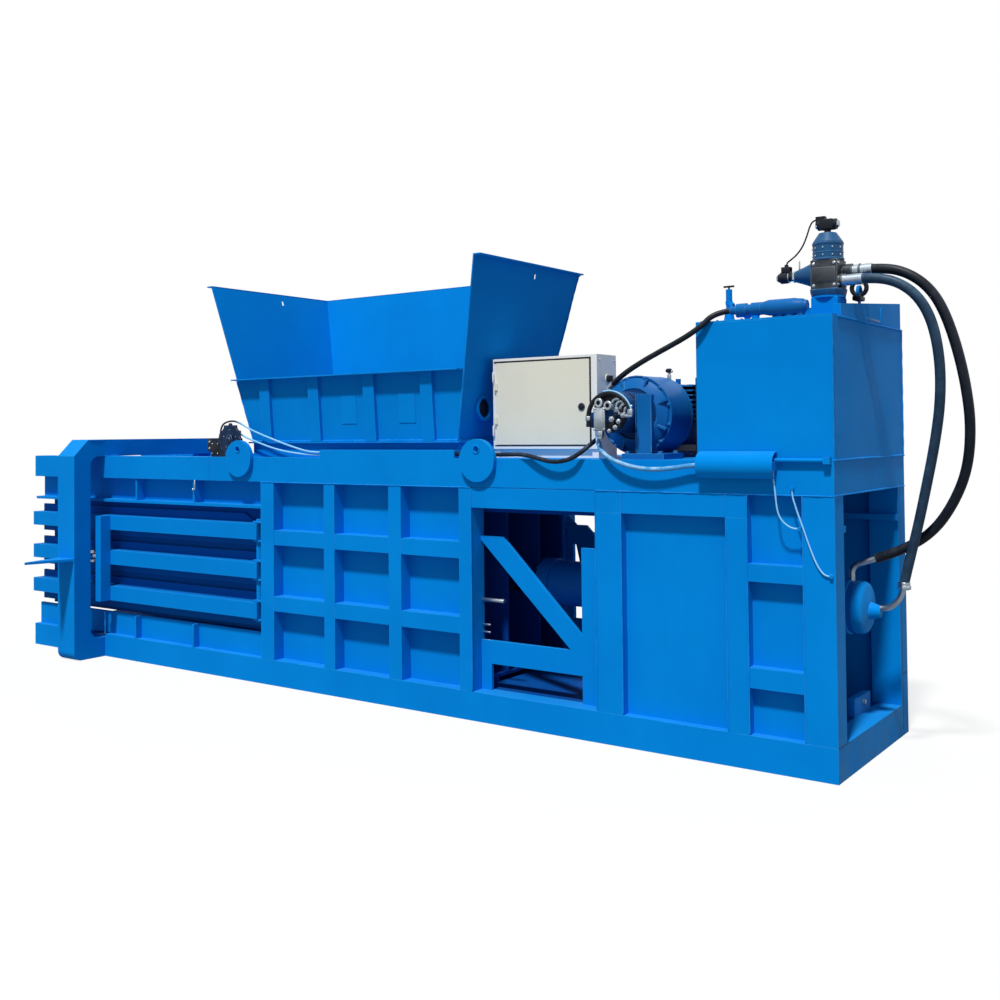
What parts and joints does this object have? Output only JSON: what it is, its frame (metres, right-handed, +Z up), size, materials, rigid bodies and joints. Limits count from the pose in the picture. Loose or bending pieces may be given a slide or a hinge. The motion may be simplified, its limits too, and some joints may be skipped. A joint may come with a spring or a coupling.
{
  "type": "recycling baler",
  "caption": "Horizontal hydraulic recycling baler with flared feed hopper, slatted bale tunnel, discharge portal, ram and rear power pack.",
  "frame": {"origin": "on the floor, under the middle of the skid", "axes": "+X towards the power-pack end, along the skid; -Y the operator's side with the cabinet door; +Z up"},
  "size_m": [6.8522, 2.26, 2.6436],
  "materials": {
    "frame_blue": "satin enamel, lightly dusty",
    "hopper_blue": "satin enamel on folded sheet",
    "door_blue": "satin enamel",
    "floor_steel": "worn enamel",
    "ram_steel": "worn enamel",
    "blade_steel": "ground steel",
    "cylinder_blue": "gloss enamel",
    "rod_chrome": "polished",
    "cabinet_grey": "off-white powder coat",
    "cabinet_beige": "beige powder coat",
    "dark_plastic": "matt black",
    "motor_blue": "satin enamel",
    "pump_grey": "dark cast iron",
    "shaft_steel": "machined steel",
    "cooler_grey": "dark grey enamel",
    "tank_blue": "satin enamel",
    "valve_steel": "dark machined steel",
    "valve_paint": "blue-grey enamel",
    "fitting_steel": "plated steel",
    "hose_rubber": "smooth rubber",
    "cable_white": "white sheath",
    "cable_dark": "dark sheath",
    "wire_pale": "pale sheath"
  },
  "bodies": {
    "frame": {"base_beam_far": "frame_blue", "base_beam_near": "frame_blue", "base_cross_beams": "frame_blue", "bay_side_far": "frame_blue", "bay_side_near": "frame_blue", "bell_housing": "motor_blue", "cabinet_cables": "cable_dark", "cabinet_case": "cabinet_grey", "cabinet_front": "cabinet_grey", "chamber_side_far": "frame_blue", "chamber_side_near": "frame_blue", "counter_cables": "wire_pale", "cylinder_barrel": "cylinder_blue", "cylinder_gland": "cylinder_blue", "deck_frame": "frame_blue", "discharge_portal": "frame_blue", "floor_plate": "floor_steel", "guard_wires": "wire_pale", "hopper_back_wall": "hopper_blue", "hopper_base_frame": "hopper_blue", "hopper_front_wall": "hopper_blue", "hopper_left_wall": "hopper_blue", "hopper_right_wall": "hopper_blue", "hose_fittings": "fitting_steel", "hose_lower": "hose_rubber", "hose_upper": "hose_rubber", "length_counter": "cooler_grey", "lifting_lugs": "frame_blue", "motor": "motor_blue", "motor_cable": "cable_white", "oil_cooler": "cooler_grey", "oil_tank": "tank_blue", "pilot_valves": "dark_plastic", "pilot_wire": "cable_dark", "pump": "pump_grey", "pump_hose": "hose_rubber", "return_pipe": "motor_blue", "shear_blade": "blade_steel", "tank_cover": "tank_blue", "tank_lid": "tank_blue", "tension_cylinders": "cylinder_blue", "top_beam_far": "frame_blue", "top_beam_near": "frame_blue", "tunnel_roof": "frame_blue", "valve_block": "valve_steel", "valve_head": "valve_paint", "window_guards": "frame_blue"},
    "ram": {"ram_body": "ram_steel", "ram_cover_plate": "ram_steel", "piston_rod": "rod_chrome"},
    "tension_door_near": {"tension_door_near": "door_blue"},
    "tension_door_far": {"tension_door_far": "door_blue"},
    "tension_pad_near": {"tension_pad_near": "rod_chrome"},
    "tension_pad_far": {"tension_pad_far": "rod_chrome"},
    "cabinet_door": {"cabinet_door": "cabinet_beige"},
    "cabinet_lock": {"cabinet_lock": "dark_plastic"},
    "isolator_knob": {"isolator_knob": "dark_plastic"},
    "drive_shaft": {"drive_shaft": "shaft_steel"},
    "star_wheel": {"star_wheel": "shaft_steel"},
    "stop_valve_handle": {"stop_valve_handle": "dark_plastic"}
  },
  "joints": [
    {"name": "ram_slide", "type": "slide", "parent": "frame", "child": "ram", "axis": [-1, 0, 0], "range_m": [-0.3, 1.26]},
    {"name": "door_near_hinge", "type": "hinge", "parent": "frame", "child": "tension_door_near", "pos_m": [-0.66, -0.52, 0.725], "axis": [0, 0, -1], "range_deg": [-1, 3]},
    {"name": "door_far_hinge", "type": "hinge", "parent": "frame", "child": "tension_door_far", "pos_m": [-0.66, 0.52, 0.725], "axis": [0, 0, 1], "range_deg": [-1, 3]},
    {"name": "pad_near_slide", "type": "slide", "parent": "frame", "child": "tension_pad_near", "axis": [0, 1, 0], "range_m": [-0.031, 0.091]},
    {"name": "pad_far_slide", "type": "slide", "parent": "frame", "child": "tension_pad_far", "axis": [0, -1, 0], "range_m": [-0.031, 0.091]},
    {"name": "cabinet_door_hinge", "type": "hinge", "parent": "frame", "child": "cabinet_door", "pos_m": [1.1, -0.309, 1.775], "axis": [0, 0, -1], "range_deg": [0, 55]},
    {"name": "cabinet_lock_turn", "type": "hinge", "parent": "cabinet_door", "child": "cabinet_lock", "pos_m": [1.682, -0.306, 1.747], "axis": [0, 1, 0], "range_deg": [0, 90]},
    {"name": "isolator_turn", "type": "hinge", "parent": "frame", "child": "isolator_knob", "pos_m": [1.79699, -0.186, 1.901], "axis": [1, 0, 0], "range_deg": [0, 90]},
    {"name": "shaft_spin", "type": "hinge", "parent": "frame", "child": "drive_shaft", "pos_m": [2.01999, 0, 1.695], "axis": [0, 1, 0], "continuous": true},
    {"name": "wheel_spin", "type": "hinge", "parent": "frame", "child": "star_wheel", "pos_m": [-0.915, -0.539, 1.58], "axis": [0, 1, 0], "continuous": true},
    {"name": "stop_valve_turn", "type": "hinge", "parent": "frame", "child": "stop_valve_handle", "pos_m": [2.56, -0.3, 2.26], "axis": [0, 0, 1], "range_deg": [0, 90]}
  ],
  "couplings": [
    {"joint": "door_far_hinge", "follows": "door_near_hinge", "ratio": 1},
    {"joint": "pad_near_slide", "follows": "door_near_hinge", "m_per_rad": 1.7},
    {"joint": "pad_far_slide", "follows": "door_near_hinge", "m_per_rad": 1.7}
  ]
}
